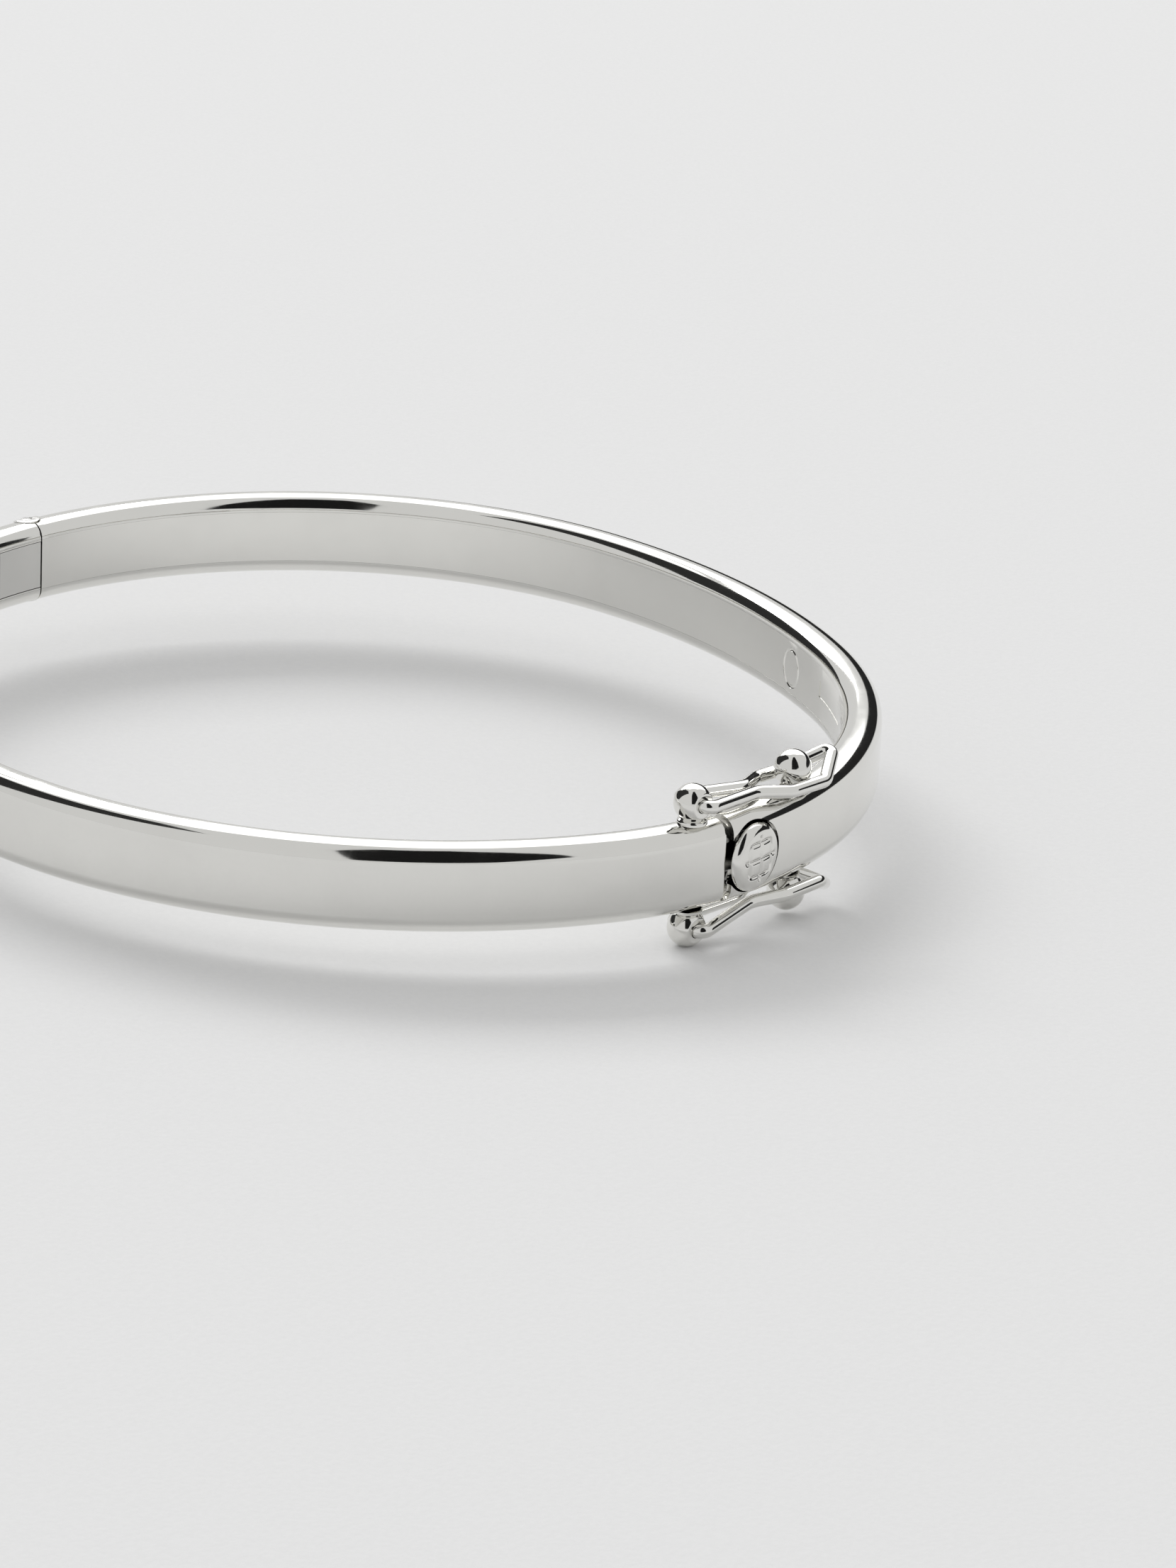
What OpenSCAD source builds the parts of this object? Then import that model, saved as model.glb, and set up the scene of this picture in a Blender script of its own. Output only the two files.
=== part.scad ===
/* [Oval] */
// Half of the inner length, from hinge to clasp
half_length = 29; // [28:0.5:31]
// Inner radius at the clasp end of the back half
back_clasp_r = 24.8; // [24.5:0.1:25.2]
// Inner radius along the side of the back half
back_side_r = 38.8; // [38:0.2:40]
// Inner radius at the clasp end of the front half
front_clasp_r = 18.8; // [18.5:0.1:19.2]
// Inner radius along the side of the front half
front_side_r = 30.6; // [30.2:0.2:31.4]
// Inner radius at the hinge end of both halves
hinge_end_r = 25.8; // [25.5:0.1:26.1]

/* [Band] */
// Width of the band
band_w = 5; // [5:0.05:5.2]
// Thickness of the band, inner face to outer face
band_t = 2.25; // [2.2:0.05:2.35]
// Radius of the two outer shoulders
shoulder_r = 1; // [0.9:0.05:1.05]
// Radius of the two inner edges
edge_r = 0.9; // [0.85:0.01:0.92]
// Thickness of the sheet that the hollow halves are made of
wall = 0.35; // [0.3:0.01:0.36]
// Middle of the slit at the clasp
slit_y = -0.72; // [-0.75:0.01:-0.7]
// Width of the slit at the clasp
slit_w = 0.56; // [0.5:0.02:0.56]

/* [Hinge] */
// Place of the hinge along the band's width direction Y
hinge_y = -0.58; // [-0.65:0.01:-0.5]
// Distance of the hinge pin from the band's inner face
hinge_out = 1.5; // [1.48:0.01:1.52]
// Radius of the knuckles
knuckle_r = 0.8; // [0.78:0.01:0.82]
// Radius of the hinge pin
pin_r = 0.35; // [0.3:0.01:0.38]
// Height of the middle knuckle
mid_knuckle_h = 1.6; // [1.4:0.1:1.8]
// How far the hinge stands proud of the band
hinge_proud = 0.06; // [0.04:0.01:0.08]

/* [Tongue and button] */
// Place of the fold of the tongue
fold_y = 5.2; // [5:0.1:5.3]
// Distance of the fold from the band's inner face at the slit
fold_out = 0.9; // [0.85:0.05:0.95]
// Thickness of the spring strip
leaf_t = 0.25; // [0.2:0.01:0.26]
// Width of the spring strip
leaf_w = 2.9; // [2.6:0.1:3]
// Slope of the sprung leaf in degrees
leaf_slope = 6.5; // [6:0.5:6.5]
// Radius of the thumb button
button_r = 1.95; // [1.9:0.01:1.98]
// Place of the centre of the thumb button
button_y = 0.99; // [0.97:0.01:1.02]
// Slope of the thumb button in degrees
button_slope = 9.5; // [8:0.5:10]

/* [Safety catches] */
// Place of the pivot ball, X and Y
pivot_xy = [30, -2.5];
// Place of the stud ball, X and Y
stud_xy = [29.55, 5.55];
// Height of the balls' centres above the edge of the band
ball_rise = 1.14; // [1.12:0.01:1.18]
// Radius of the balls
ball_r = 1.08; // [1.06:0.01:1.1]
// Radius of the catch wire
wire_r = 0.38; // [0.36:0.01:0.39]
// Half of the length of the bore through the pivot ball
bore_half = 0.8; // [0.78:0.01:0.82]

/* [Hidden] */
$fn = 64;

silver = [0.86, 0.86, 0.85];
pale_silver = [0.92, 0.92, 0.91];
shade_silver = [0.74, 0.74, 0.73];
mouth_lap = 0.01;
far = 80;
$step = 0;
arc_step = 0.02;
arc_lap = 0.3;
rod_step = 0.002;
rod_lap = 0.02;
fit_gap = 0.02;

// Half thickness of what is cut or kept on each side of the slit and of the hinge
back_slit_y = slit_y + slit_w / 2;
front_slit_y = slit_y - slit_w / 2;
hinge_gap = 0.05;
hinge_x = -half_length - hinge_out;
knuckle_clear_r = knuckle_r + 0.1;
knuckle_gap = 0.05;
leaf_len_y = 2.6;
web_lap = 0.3;
web_high = band_w / 2 - shoulder_r;
pad_w = 2.9;
pad_len = 3.4;
pad_gap = 0.04;

// Throat, strike bar and notch
throat_t = 0.5;
throat_half_w = leaf_w / 2 + 0.12;
throat_low = 0.5;
throat_high = 1.38;
notch_gap = 0.14;
notch_depth = 0.85;
bar_y = 6.1;
bar_t = 0.4;

// Fold, leaf and button, in the frame of the fold
fold_bead_r = 0.3;
fold_gap = 0.05;
leaf_low = 0.05;
leaf_len = 4.85;
stem_half_w = 0.7;
stem_half_l = 0.6;
button_low = 0.75;
button_rim = 0.45;
button_dome = 0.25;
button_edge_r = 0.4;
groove_w = 0.2;
groove_depth = 0.12;
groove_pitch = 0.95;
grip_r = 1.4;

// Feet of the balls
foot_r = 0.85;
foot_h = 0.4;
neck_r = 0.55;
tang_r = 0.3;

// Corner points of the catch wire: along the catch, to the side, and up from the pivot
catch_turn = atan2(pivot_xy[0] - stud_xy[0], stud_xy[1] - pivot_xy[1]);
ball_z = band_w / 2 + ball_rise;
bore_r = wire_r + fit_gap;
elbow_r = 0.45;
strand_side = bore_half - fit_gap + elbow_r;
wire_side = [
    [0, strand_side, 0],
    [4.6, 0.48, -0.42],
    [6.5, 1.34, -0.6],
    [9.3, 1.34, -0.66],
    [11.4, 0, 0.46]
];
wire_bends = [elbow_r, 1.6, 1.2, 0.7, 0.42];

function far_side(p) = [p[0], -p[1], p[2]];
function reversed(list) = [for (i = [len(list) - 1:-1:0]) list[i]];
function unit(v) = v / norm(v);

wire_points = concat(wire_side, [for (p = reversed([for (i = [0:3]) wire_side[i]])) far_side(p)]);
wire_radii = concat(wire_bends, reversed([for (i = [0:3]) wire_bends[i]]));

// A half oval is three arcs that meet at a tangent. Centres lie on the X axis for the two end arcs.
// For arcs of radius ra (clasp end), rb (side) and rc (hinge end) the side arc's centre is worked out.
function end_span(ra) = 2 * half_length - ra - hinge_end_r;
function side_reach(ra, rb) =
    (pow(rb - ra, 2) + pow(end_span(ra), 2) - pow(rb - hinge_end_r, 2)) / (2 * end_span(ra));
function clasp_centre(ra) = [half_length - ra, 0];
function hinge_centre() = [-half_length + hinge_end_r, 0];
function side_centre(ra, rb) =
    [half_length - ra - side_reach(ra, rb), -sqrt(pow(rb - ra, 2) - pow(side_reach(ra, rb), 2))];
function bearing(from, to) = atan2(to[1] - from[1], to[0] - from[0]);

// Band sections: x is the distance from the inner face, y is the height.
module rounded_band(t, w, inner_r, outer_r) {
    translate([inner_r, -w / 2])
        square([t - inner_r - outer_r, w]);
    translate([0, -w / 2 + inner_r])
        square([inner_r, w - 2 * inner_r]);
    translate([t - outer_r, -w / 2 + outer_r])
        square([outer_r, w - 2 * outer_r]);
    for (side = [-1, 1]) {
        translate([inner_r, side * (w / 2 - inner_r)])
            circle(r = inner_r);
        translate([t - outer_r, side * (w / 2 - outer_r)])
            circle(r = outer_r);
    }
}

// $step pulls every face of a section back into its own metal
module hollow_section() {
    inset = wall + $step;
    translate([inset, 0])
        rounded_band(band_t - 2 * inset, band_w - 2 * inset, edge_r - inset, shoulder_r - inset);
}

module shell_section() {
    inset = wall - $step;
    mouth_half = band_w / 2 - edge_r + $step;
    difference() {
        translate([$step, 0])
            rounded_band(band_t - 2 * $step, band_w - 2 * $step, edge_r - $step, shoulder_r - $step);
        translate([inset, 0])
            rounded_band(band_t - 2 * inset, band_w - 2 * inset, edge_r - inset, shoulder_r - inset);
        translate([-wall, -mouth_half])
            square([2 * wall + mouth_lap, 2 * mouth_half]);
    }
}

module liner_section() {
    translate([$step, -band_w / 2 + edge_r + $step])
        square([wall - 2 * $step, band_w - 2 * (edge_r + $step)]);
}

// Sweeps a section along an arc about a centre, from one angle to another
module sweep_arc(centre, radius, from, to) {
    translate([centre[0], centre[1], 0])
        rotate([0, 0, from])
            rotate_extrude(angle = to - from)
                translate([radius, 0])
                    children();
}

// Sweeps a section straight on past an end of the half oval
module sweep_stub(x, facing, length) {
    translate([x, 0, 0])
        mirror([facing, 0, 0])
            rotate([90, 0, 0])
                linear_extrude(length)
                    children();
}

module half_oval(ra, rb) {
    side = side_centre(ra, rb);
    clasp_end = bearing(side, clasp_centre(ra));
    hinge_end = bearing(side, hinge_centre());
    lap = arc_lap / rb * 180 / PI;
    sweep_arc(clasp_centre(ra), ra, 0, clasp_end)
        children();
    sweep_arc(side, rb, clasp_end - lap, hinge_end + lap, $step = arc_step)
        children();
    mirror([1, 0, 0])
        sweep_arc(-hinge_centre(), hinge_end_r, 0, 180 - hinge_end)
            children();
    sweep_stub(half_length, 0, 1)
        children();
    sweep_stub(-half_length, 1, 1)
        children();
}

// Everything on the low side of the line y = at, on the clasp side (side = 1) or the hinge side (side = -1)
module below(at, side) {
    translate([side * far / 2, at - far / 2, 0])
        cube([far, far, far], center = true);
}

module back_half() {
    difference() {
        half_oval(back_clasp_r, back_side_r)
            children();
        below(back_slit_y, 1);
        below(hinge_y + hinge_gap, -1);
    }
}

module front_half() {
    difference() {
        mirror([0, 1, 0])
            half_oval(front_clasp_r, front_side_r)
                children();
        mirror([0, 1, 0])
            below(-front_slit_y, 1);
        mirror([0, 1, 0])
            below(-hinge_y + hinge_gap, -1);
    }
}

module at_hinge() {
    translate([hinge_x, hinge_y, 0])
        children();
}

module hinge_clearance() {
    at_hinge()
        cylinder(r = knuckle_clear_r, h = far, center = true);
}

// The round notch for the button, open towards the slit
module button_notch() {
    low = half_length + band_t - notch_depth;
    middle = button_y + (button_low + button_rim) * sin(button_slope);
    translate([low, middle, 0])
        rotate([0, 90, 0])
            cylinder(r = button_r + notch_gap, h = band_t);
}

module tang_holes(place) {
    for (side = [-1, 1])
        translate([place[0], place[1], side * band_w / 2])
            cylinder(r = tang_r, h = 4 * wall, center = true);
}

module back_outer_shell() {
    color(silver)
        difference() {
            back_half()
                shell_section();
            hinge_clearance();
            button_notch();
            tang_holes(stud_xy);
        }
}

module back_inner_liner() {
    color(shade_silver)
        back_half()
            liner_section();
}

module front_outer_shell() {
    color(silver)
        difference() {
            front_half()
                shell_section();
            hinge_clearance();
            tang_holes(pivot_xy);
        }
}

// Opening in the front liner that the hinge leaf's pad fills
module pad_window(grow) {
    translate([-half_length - wall, hinge_y - pad_len - grow, -pad_w / 2 - grow])
        cube([2 * wall, pad_len + 2 * grow + hinge_gap, pad_w + 2 * grow]);
}

module front_inner_liner() {
    color(shade_silver)
        difference() {
            front_half()
                liner_section();
            pad_window(pad_gap);
        }
}

// Plate that closes the back half at the clasp, with the slot that the tongue goes through
module back_throat_plate() {
    color(pale_silver)
        difference() {
            translate([half_length, back_slit_y + throat_t, 0])
                rotate([90, 0, 0])
                    linear_extrude(throat_t)
                        hollow_section();
            translate([half_length + throat_low, back_slit_y - 1, -throat_half_w])
                cube([throat_high - throat_low, throat_t + 2, 2 * throat_half_w]);
            translate([half_length + throat_low, back_slit_y - 1, -stem_half_w - notch_gap])
                cube([band_t, throat_t + 2, 2 * (stem_half_w + notch_gap)]);
            button_notch();
        }
}

// Bar across the box, past the fold, that the tongue stops at
module back_strike_bar() {
    turn = asin(bar_y / back_clasp_r);
    color(shade_silver)
        sweep_arc(clasp_centre(back_clasp_r), back_clasp_r, turn, turn + bar_t / back_clasp_r * 180 / PI)
            hollow_section();
}

module front_end_plate() {
    color(pale_silver)
        intersection() {
            front_half()
                hollow_section();
            translate([half_length, front_slit_y - throat_t / 2, 0])
                cube([far / 10, throat_t, far], center = true);
        }
}

// Knuckles between two heights, rounded at the ends like the band
module knuckle(low, high) {
    intersection() {
        at_hinge()
            translate([0, 0, low])
                cylinder(r = knuckle_r, h = high - low);
        translate([-half_length + hinge_proud, 0, 0])
            mirror([1, 0, 0])
                rotate([90, 0, 0])
                    linear_extrude(far / 10, center = true)
                        rounded_band(band_t + 2 * hinge_proud, band_w + 2 * hinge_proud, edge_r, shoulder_r);
    }
}

module back_knuckles() {
    reach = band_w / 2 + hinge_proud;
    knuckle(mid_knuckle_h / 2 + knuckle_gap, reach);
    knuckle(-reach, -mid_knuckle_h / 2 - knuckle_gap);
}

// Web that joins a knuckle to its leaf, on the +Y side of the pin
module web(low, high) {
    translate([hinge_x, 0, low])
        cube([hinge_out - 2 * wall, knuckle_clear_r + web_lap, high - low]);
}

module back_hinge_leaf() {
    web_low = mid_knuckle_h / 2 + knuckle_gap;
    color(pale_silver)
        difference() {
            union() {
                difference() {
                    intersection() {
                        back_half()
                            hollow_section();
                        translate([-far, hinge_y, -far / 2])
                            cube([far, leaf_len_y, far]);
                    }
                    hinge_clearance();
                }
                back_knuckles();
                for (side = [0, 1])
                    mirror([0, 0, side])
                        translate([0, hinge_y, 0])
                            web(web_low, web_high);
            }
            at_hinge()
                cylinder(r = pin_r, h = far, center = true);
        }
}

module front_hinge_leaf() {
    web_half = mid_knuckle_h / 2;
    color(pale_silver)
        difference() {
            union() {
                difference() {
                    intersection() {
                        front_half()
                            hollow_section();
                        translate([-far, hinge_y - leaf_len_y, -far / 2])
                            cube([far, leaf_len_y, far]);
                    }
                    hinge_clearance();
                }
                knuckle(-web_half, web_half);
                translate([0, hinge_y, 0])
                    mirror([0, 1, 0])
                        web(-web_half, web_half);
                front_pad();
            }
            at_hinge()
                cylinder(r = pin_r + fit_gap, h = far, center = true);
        }
}

// Pad of the front leaf that shows on the inner face of the band
module front_pad() {
    intersection() {
        front_half()
            translate([pad_gap / 2, -pad_w / 2])
                square([wall, pad_w]);
        pad_window(0);
    }
}

module hinge_pin() {
    color(pale_silver)
        at_hinge()
            cylinder(r = pin_r, h = band_w, center = true);
}

// A tongue leaf lies along Y; the fold's bead closes its far end
module tongue_base_leaf() {
    base_low = half_length + fold_out - fold_bead_r;
    color(pale_silver) {
        translate([base_low, front_slit_y, -leaf_w / 2])
            cube([leaf_t, fold_y - front_slit_y, leaf_w]);
        translate([half_length + fold_out, fold_y, 0])
            cylinder(r = fold_bead_r, h = leaf_w, center = true);
    }
}

module at_fold(slope) {
    translate([half_length + fold_out, fold_y, 0])
        rotate([0, 0, slope])
            children();
}

module tongue_spring_leaf() {
    color(pale_silver)
        difference() {
            at_fold(leaf_slope)
                translate([leaf_low, -leaf_len, -leaf_w / 2])
                    cube([leaf_t, leaf_len, leaf_w]);
            at_fold(0)
                cylinder(r = fold_bead_r + fold_gap, h = far, center = true);
        }
}

// Local frame of the button: its own axis points outwards
module at_button() {
    arm = fold_y - button_y;
    at_fold(leaf_slope)
        translate([0, -arm, 0])
            rotate([0, 0, button_slope - leaf_slope])
                rotate([0, 90, 0])
                    children();
}

module button_stem() {
    color(pale_silver)
        difference() {
            at_button()
                translate([-stem_half_w, -stem_half_l, 0])
                    cube([2 * stem_half_w, 2 * stem_half_l, button_low]);
            at_fold(leaf_slope)
                translate([-far, -far / 2, -far / 2])
                    cube([far + leaf_low + leaf_t, far, far]);
        }
}

module button_blank(top_cut) {
    rim_top = button_low + button_rim;
    dome_r = (pow(button_r, 2) + pow(button_dome, 2)) / (2 * button_dome);
    rotate_extrude()
        intersection() {
            union() {
                translate([0, button_low])
                    square([button_r - button_edge_r, 2]);
                translate([0, button_low])
                    square([button_r, button_rim - button_edge_r]);
                translate([button_r - button_edge_r, rim_top - button_edge_r])
                    circle(r = button_edge_r);
            }
            translate([0, rim_top + button_dome - dome_r - top_cut])
                circle(r = dome_r, $fn = 360);
            translate([0, button_low])
                square([button_r, 2]);
        }
}

// Crossed grooves inside a round field
module grip_grooves() {
    intersection() {
        cylinder(r = grip_r, h = 3);
        union() {
            for (i = [-1:1:1])
                translate([-grip_r, i * groove_pitch - groove_w / 2, 0])
                    cube([2 * grip_r, groove_w, 3]);
            for (i = [-1:1:1])
                translate([i * groove_pitch - groove_w / 2, -grip_r, 0])
                    cube([groove_w, 2 * grip_r, 3]);
        }
    }
}

module thumb_button() {
    color(silver)
        at_button()
            difference() {
                button_blank(0);
                difference() {
                    grip_grooves();
                    button_blank(groove_depth);
                }
            }
}

// Ball stud on the band's edge, its tang soldered into a hole; level = 1 is the upper edge
module stud(place, level) {
    mirror([0, 0, level < 0 ? 1 : 0])
        translate([place[0], place[1], band_w / 2]) {
            translate([0, 0, ball_rise])
                sphere(r = ball_r);
            cylinder(r = neck_r, h = ball_rise);
            translate([0, 0, -wall])
                cylinder(r = tang_r, h = wall);
        }
}

module top_stud_ball() {
    color(silver)
        stud(stud_xy, 1);
}

module bottom_stud_ball() {
    color(silver)
        stud(stud_xy, -1);
}

// Pivot ball with a flat at each end of its bore, on a small round foot
module pivot(level) {
    mirror([0, 0, level < 0 ? 1 : 0])
        translate([pivot_xy[0], pivot_xy[1], band_w / 2])
            rotate([0, 0, catch_turn])
                difference() {
                    union() {
                        translate([0, 0, ball_rise])
                            sphere(r = ball_r);
                        cylinder(r = foot_r, h = foot_h);
                        translate([0, 0, -wall])
                            cylinder(r = tang_r, h = wall);
                    }
                    translate([0, 0, ball_rise])
                        rotate([0, 90, 0])
                            cylinder(r = bore_r, h = far, center = true);
                    for (side = [0, 1])
                        mirror([side, 0, 0])
                            translate([bore_half, -far / 2, foot_h])
                                cube([far, far, far]);
                }
}

module top_pivot_ball() {
    color(silver)
        pivot(1);
}

module bottom_pivot_ball() {
    color(silver)
        pivot(-1);
}

// Round bar from one point to another
module rod(from, to, radius) {
    along = to - from;
    translate(from)
        rotate([0, acos(along[2] / norm(along)), atan2(along[1], along[0])])
            cylinder(r = radius, h = norm(along));
}

// Bent bar from point a to point b about a centre, both at the same distance from it
module bend(centre, a, b, radius) {
    x_axis = unit(a - centre);
    z_axis = unit(cross(a - centre, b - centre));
    y_axis = cross(z_axis, x_axis);
    turn = acos(x_axis * unit(b - centre));
    multmatrix([
        [x_axis[0], y_axis[0], z_axis[0], centre[0]],
        [x_axis[1], y_axis[1], z_axis[1], centre[1]],
        [x_axis[2], y_axis[2], z_axis[2], centre[2]],
        [0, 0, 0, 1]
    ])
        rotate_extrude(angle = turn)
            translate([norm(a - centre), 0])
                circle(r = radius);
}

// Length from a corner to where its bend starts
function trim(before, corner, after, bend_r) =
    bend_r * tan(acos(unit(corner - before) * unit(after - corner)) / 2);

// Closed loop of wire: straight between corners, with a bend at each corner
module wire_loop(points, radii, radius) {
    count = len(points);
    for (i = [0:count - 1]) {
        before = points[(i + count - 1) % count];
        corner = points[i];
        after = points[(i + 1) % count];
        next = points[(i + 2) % count];
        cut = trim(before, corner, after, radii[i]);
        next_cut = trim(corner, after, next, radii[(i + 1) % count]);
        start = corner + unit(before - corner) * cut;
        finish = corner + unit(after - corner) * cut;
        inward = unit(unit(before - corner) + unit(after - corner));
        centre = corner + inward * sqrt(cut * cut + radii[i] * radii[i]);
        ahead = unit(after - corner);
        bend(centre, start, finish, radius);
        rod(finish - ahead * rod_lap, after - ahead * (next_cut - rod_lap), radius - rod_step);
    }
}

module catch_wire(level) {
    mirror([0, 0, level < 0 ? 1 : 0])
        translate([pivot_xy[0], pivot_xy[1], ball_z])
            rotate([0, 0, catch_turn + 90])
                mirror([0, 1, 0])
                    wire_loop(wire_points, wire_radii, wire_r);
}

module top_catch_wire() {
    color(pale_silver)
        catch_wire(1);
}

module bottom_catch_wire() {
    color(pale_silver)
        catch_wire(-1);
}

back_outer_shell();
back_inner_liner();
back_throat_plate();
back_strike_bar();
back_hinge_leaf();
hinge_pin();
top_stud_ball();
bottom_stud_ball();
front_outer_shell();
front_inner_liner();
front_end_plate();
front_hinge_leaf();
tongue_base_leaf();
top_pivot_ball();
bottom_pivot_ball();
tongue_spring_leaf();
button_stem();
thumb_button();
top_catch_wire();
bottom_catch_wire();
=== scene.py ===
from math import asin, atan2, cos, exp, pi, radians, sin, sqrt, tan

import bmesh
import bpy
from mathutils import Matrix, Vector


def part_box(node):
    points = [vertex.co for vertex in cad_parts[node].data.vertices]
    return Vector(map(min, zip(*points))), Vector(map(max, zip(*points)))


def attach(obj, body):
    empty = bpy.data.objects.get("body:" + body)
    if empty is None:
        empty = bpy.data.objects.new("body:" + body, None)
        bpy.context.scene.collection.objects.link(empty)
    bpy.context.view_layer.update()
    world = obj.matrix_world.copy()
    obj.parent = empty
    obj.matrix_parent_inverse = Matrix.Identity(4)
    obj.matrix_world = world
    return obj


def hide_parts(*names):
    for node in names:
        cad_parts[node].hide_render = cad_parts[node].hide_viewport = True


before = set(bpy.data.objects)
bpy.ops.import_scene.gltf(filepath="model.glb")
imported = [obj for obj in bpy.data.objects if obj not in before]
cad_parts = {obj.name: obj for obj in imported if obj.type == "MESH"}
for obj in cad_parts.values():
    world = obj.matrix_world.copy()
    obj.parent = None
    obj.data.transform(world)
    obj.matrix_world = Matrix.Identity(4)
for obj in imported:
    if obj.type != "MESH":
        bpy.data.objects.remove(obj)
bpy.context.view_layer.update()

bl_info = {
    "name": "Bangle Bracelet",
    "version": (1, 0, 0),
    "blender": (4, 5, 0),
    "location": "3D View > Sidebar > Bangle",
    "description": "Polished metal pieces of a hinged bangle bracelet, built round its CAD frame",
    "category": "Object",
}

MM = 0.001
WELD = 1e-7  # points closer than this are one point
BAND_LOW, BAND_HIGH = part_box("back_outer_shell")
STUD_LOW, STUD_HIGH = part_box("top_stud_ball")
PIVOT_LOW, PIVOT_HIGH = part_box("top_pivot_ball")
PIN_LOW, PIN_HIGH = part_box("hinge_pin")
STUD = (STUD_LOW + STUD_HIGH) / 2
PIVOT = (PIVOT_LOW + PIVOT_HIGH) / 2
PIN = (PIN_LOW + PIN_HIGH) / 2


# ---------------------------------------------------------------- settings


def length_prop(name, about, default):
    return bpy.props.FloatProperty(
        name=name, description=about, default=default,
        unit="LENGTH", precision=5, soft_min=-0.1, soft_max=0.5,
    )


def angle_prop(name, about, default):
    return bpy.props.FloatProperty(
        name=name, description=about, default=radians(default), subtype="ANGLE"
    )


def share_prop(name, about, default):
    return bpy.props.FloatProperty(
        name=name, description=about, default=default, subtype="FACTOR", min=0, max=1
    )


def colour_prop(name, about, default):
    return bpy.props.FloatVectorProperty(
        name=name, description=about, default=default, subtype="COLOR", size=3, min=0, max=1
    )


class BangleBandSettings(bpy.types.PropertyGroup):
    half_length: length_prop("Half length", "Half of the inner length, from hinge to clasp", 29 * MM)
    back_clasp_r: length_prop("Back clasp radius", "Inner radius, back half, clasp end", 24.8 * MM)
    back_side_r: length_prop("Back side radius", "Inner radius, back half, along the side", 38.8 * MM)
    front_clasp_r: length_prop("Front clasp radius", "Inner radius, front half, clasp end", 18.8 * MM)
    front_side_r: length_prop("Front side radius", "Inner radius, front half, along the side", 30.6 * MM)
    hinge_end_r: length_prop("Hinge end radius", "Inner radius of both halves at the hinge", 25.8 * MM)
    width: length_prop("Width", "Width of the band", BAND_HIGH.z - BAND_LOW.z)
    thickness: length_prop("Thickness", "Inner face to outer face", 2.23 * MM)
    shoulder_r: length_prop("Shoulder radius", "Rounding of the two outer shoulders", 1 * MM)
    edge_r: length_prop("Edge radius", "Rounding of the two inner edges", 0.9 * MM)
    wall: length_prop("Sheet", "Thickness of the sheet metal", 0.35 * MM)
    slit_y: length_prop("Slit place", "Middle of the slit at the clasp", -0.72 * MM)
    slit_w: length_prop("Slit width", "Width of the slit at the clasp", 0.56 * MM)
    hinge_gap: length_prop("Hinge gap", "Half of the gap between the halves at the hinge", 0.05 * MM)
    step_angle: angle_prop("Step", "Turn between two rings of the swept band", 0.75)


class BangleClaspSettings(bpy.types.PropertyGroup):
    wire_r: length_prop("Wire radius", "Radius of the catch wire", 0.38 * MM)
    bore_half: length_prop("Half bore", "Half of the length of the pivot ball's bore", 0.8 * MM)
    ball_rise: length_prop("Ball rise", "Height of the balls' centres above the band's edge", 1.14 * MM)
    button_r: length_prop("Button radius", "Radius of the thumb button", 1.95 * MM)
    button_y: length_prop("Button place", "Place of the button's centre along Y", 0.99 * MM)
    button_slope: angle_prop("Button slope", "Slope of the button to the band", 9.5)
    button_rise: length_prop("Button rise", "Height of the button's rim over the leaf", 1.2 * MM)
    leaf_slope: angle_prop("Leaf slope", "Slope of the sprung leaf", 6.5)
    fold_y: length_prop("Fold place", "Place of the tongue's fold along Y", 5.2 * MM)
    fold_out: length_prop("Fold depth", "Distance of the fold from the band's inner face", 0.9 * MM)
    groove_pitch: length_prop("Groove pitch", "Distance between the grip grooves", 0.95 * MM)
    groove_depth: length_prop("Groove depth", "Depth of the grip grooves", 0.14 * MM)


class BangleFinishSettings(bpy.types.PropertyGroup):
    silver: colour_prop("Silver", "Colour of the polished outside", (0.8, 0.794, 0.765))
    # The inside's colour is a lighter tint than the outside's: painted highlight that brightens the
    # inner face, which reflects the shaded floor.
    inner: colour_prop("Inside", "Colour of the inner face", (0.83, 0.823, 0.79))
    clasp: colour_prop("Clasp", "Colour of the plates and leaves", (0.78, 0.774, 0.75))
    polish: share_prop("Polish", "Roughness of the mirror polish", 0.06)
    paper: colour_prop("Paper", "Colour of the paper floor", (0.8, 0.8, 0.802))


class BangleStageSettings(bpy.types.PropertyGroup):
    azimuth: angle_prop("Azimuth", "Where the camera stands round the bangle", 46.02)
    elevation: angle_prop("Elevation", "How far the camera looks down", 21.31)
    roll: angle_prop("Roll", "How far the camera leans", 2.70)
    distance: length_prop("Distance", "Distance of the camera", 349.77 * MM)
    shift_right: length_prop("Right", "Step of the camera to its right", 13.11 * MM)
    shift_up: length_prop("Up", "Step of the camera upwards", -4.98 * MM)
    floor_along: angle_prop("Floor slope along", "Rise of the floor from the hinge to the clasp", 0.86)
    floor_across: angle_prop("Floor slope across", "Rise of the floor from front to back half", -1.6)
    key_azimuth: angle_prop("Key azimuth", "Turn of the key light from straight behind", 23)
    key_elevation: angle_prop("Key elevation", "Height of the key light above the floor", 32.5)
    key_wide: angle_prop("Key width", "Width of the key light, seen from the bangle", 42)
    key_high: angle_prop("Key height", "Height of the key light, seen from the bangle", 18)
    key_reach: length_prop("Key distance", "Distance of the key light", 4)
    key_power: bpy.props.FloatProperty(name="Key", description="Radiance of the key light", default=6.5)
    fill: bpy.props.FloatProperty(name="Fill", description="Radiance of the room", default=0.723)
    card_reach: length_prop("Card distance", "Distance of the cards", 2)
    lens: bpy.props.FloatProperty(name="Lens", description="Focal length in millimetres", default=139.06)


def settings(context):
    scene = context.scene
    return scene.bangle_band, scene.bangle_clasp, scene.bangle_finish, scene.bangle_stage


# ---------------------------------------------------------------- meshes


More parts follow.
